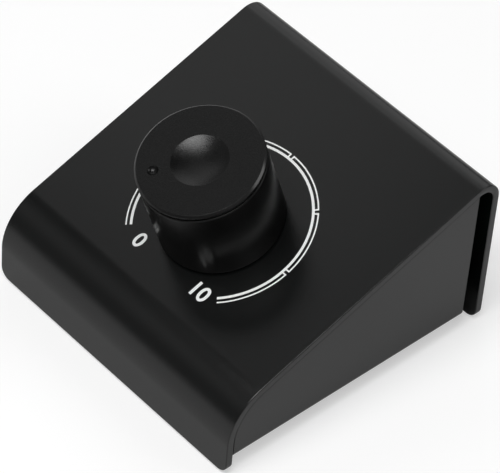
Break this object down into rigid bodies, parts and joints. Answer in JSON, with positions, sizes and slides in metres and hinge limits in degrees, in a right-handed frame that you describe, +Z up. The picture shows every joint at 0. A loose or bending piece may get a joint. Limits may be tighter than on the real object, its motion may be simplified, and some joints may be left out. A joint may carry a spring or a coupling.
{
  "type": "desktop volume controller",
  "caption": "Small desktop volume controller: sloping bent-sheet case with one large turning knob on top and audio sockets at the rear.",
  "frame": {"origin": "on the desk, under the middle of the whole object", "axes": "+X to the right of a person who faces the lip, +Y from the lip to the rear sockets, +Z up"},
  "size_m": [0.083, 0.092, 0.0605],
  "materials": {
    "case_paint": "satin fine-texture black powder coat",
    "knob_gloss": "glossy black",
    "cap_satin": "satin black, fine grain",
    "foot_rubber": "matt black rubber",
    "zinc": "zinc-plated steel",
    "nickel": "bright nickel plate",
    "brass": "machined brass",
    "shaft_metal": "turned aluminium",
    "black_plastic": "moulded black",
    "white_plastic": "moulded white",
    "red_plastic": "moulded red",
    "phenolic": "brown phenolic laminate",
    "laminate": "green board with solder resist"
  },
  "bodies": {
    "case": {"top_sheet": "case_paint", "base_chassis": "case_paint", "front_bracket": "zinc", "rear_bracket": "zinc", "pot_washer": "zinc", "pot_housing_front": "zinc", "pot_housing_rear": "zinc", "pot_cover": "zinc", "foot_front_left": "foot_rubber", "foot_front_right": "foot_rubber", "foot_rear_left": "foot_rubber", "foot_rear_right": "foot_rubber", "base_screw_front_left": "zinc", "base_screw_front_right": "zinc", "base_screw_rear_left": "zinc", "base_screw_rear_right": "zinc", "rear_screw_left": "zinc", "rear_screw_right": "zinc", "socket_block_left": "black_plastic", "socket_block_right": "black_plastic", "mini_socket_body": "black_plastic", "pot_bushing": "brass", "pot_nut": "nickel", "mini_socket_nut": "nickel", "pot_wafer_front": "phenolic", "pot_wafer_rear": "phenolic", "pot_pin_front_1": "nickel", "pot_pin_front_2": "nickel", "pot_pin_front_3": "nickel", "pot_pin_rear_1": "nickel", "pot_pin_rear_2": "nickel", "pot_pin_rear_3": "nickel", "socket_shell_left_lower": "nickel", "socket_shell_left_upper": "nickel", "socket_shell_right_lower": "nickel", "socket_shell_right_upper": "nickel", "socket_contact_left_lower": "nickel", "socket_contact_left_upper": "nickel", "socket_contact_right_lower": "nickel", "socket_contact_right_upper": "nickel", "socket_core_left_lower": "red_plastic", "socket_core_right_lower": "red_plastic", "socket_core_left_upper": "white_plastic", "socket_core_right_upper": "white_plastic", "circuit_board": "laminate", "wire_front_1": "white_plastic", "wire_front_2": "red_plastic", "wire_front_3": "black_plastic", "wire_rear_1": "white_plastic", "wire_rear_2": "red_plastic", "wire_rear_3": "black_plastic"},
    "knob": {"knob_body": "knob_gloss", "knob_cap": "cap_satin", "pot_shaft": "shaft_metal", "pot_rotor_front": "black_plastic", "pot_rotor_rear": "black_plastic"}
  },
  "joints": [
    {"name": "knob_turn", "type": "hinge", "parent": "case", "child": "knob", "pos_m": [0, -0.0131, 0.03175], "axis": [0, 0.3338, -0.9426], "range_deg": [0, 290]}
  ]
}
